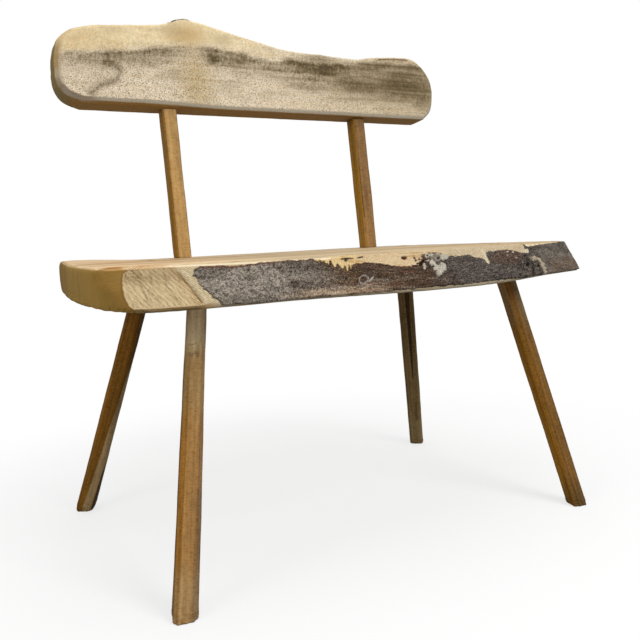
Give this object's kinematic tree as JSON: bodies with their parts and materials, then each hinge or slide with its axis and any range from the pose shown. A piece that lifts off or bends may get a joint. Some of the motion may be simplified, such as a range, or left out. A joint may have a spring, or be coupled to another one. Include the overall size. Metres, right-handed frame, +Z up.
{
  "type": "rustic wooden bench",
  "caption": "Short rustic bench: a live-edge slab seat with bark on its front, staked on splayed shaved legs, with a waney backrest slab on leaning posts.",
  "frame": {"origin": "middle of the bounding box on the floor plane", "axes": "+Z up, +X along the bench to the right of someone facing it, +Y to the rear"},
  "size_m": [0.829, 0.5332, 0.8264],
  "materials": {
    "slab_wood": "oiled, sawn ends",
    "bark": "weathered bark",
    "spalted_wood": "planed, oiled",
    "stave_wood": "drawknife shaved, oiled",
    "wedge_wood": "cut flush"
  },
  "bodies": {
    "root": {"seat_slab": "slab_wood", "front_bark": "bark", "backrest_slab": "spalted_wood", "front_left_leg": "stave_wood", "front_right_leg": "stave_wood", "rear_left_leg": "stave_wood", "rear_right_leg": "stave_wood", "left_back_post": "stave_wood", "right_back_post": "stave_wood", "front_left_leg_wedge": "wedge_wood", "front_right_leg_wedge": "wedge_wood", "rear_left_leg_wedge": "wedge_wood", "rear_right_leg_wedge": "wedge_wood", "left_back_post_wedge": "wedge_wood", "right_back_post_wedge": "wedge_wood"}
  },
  "joints": []
}
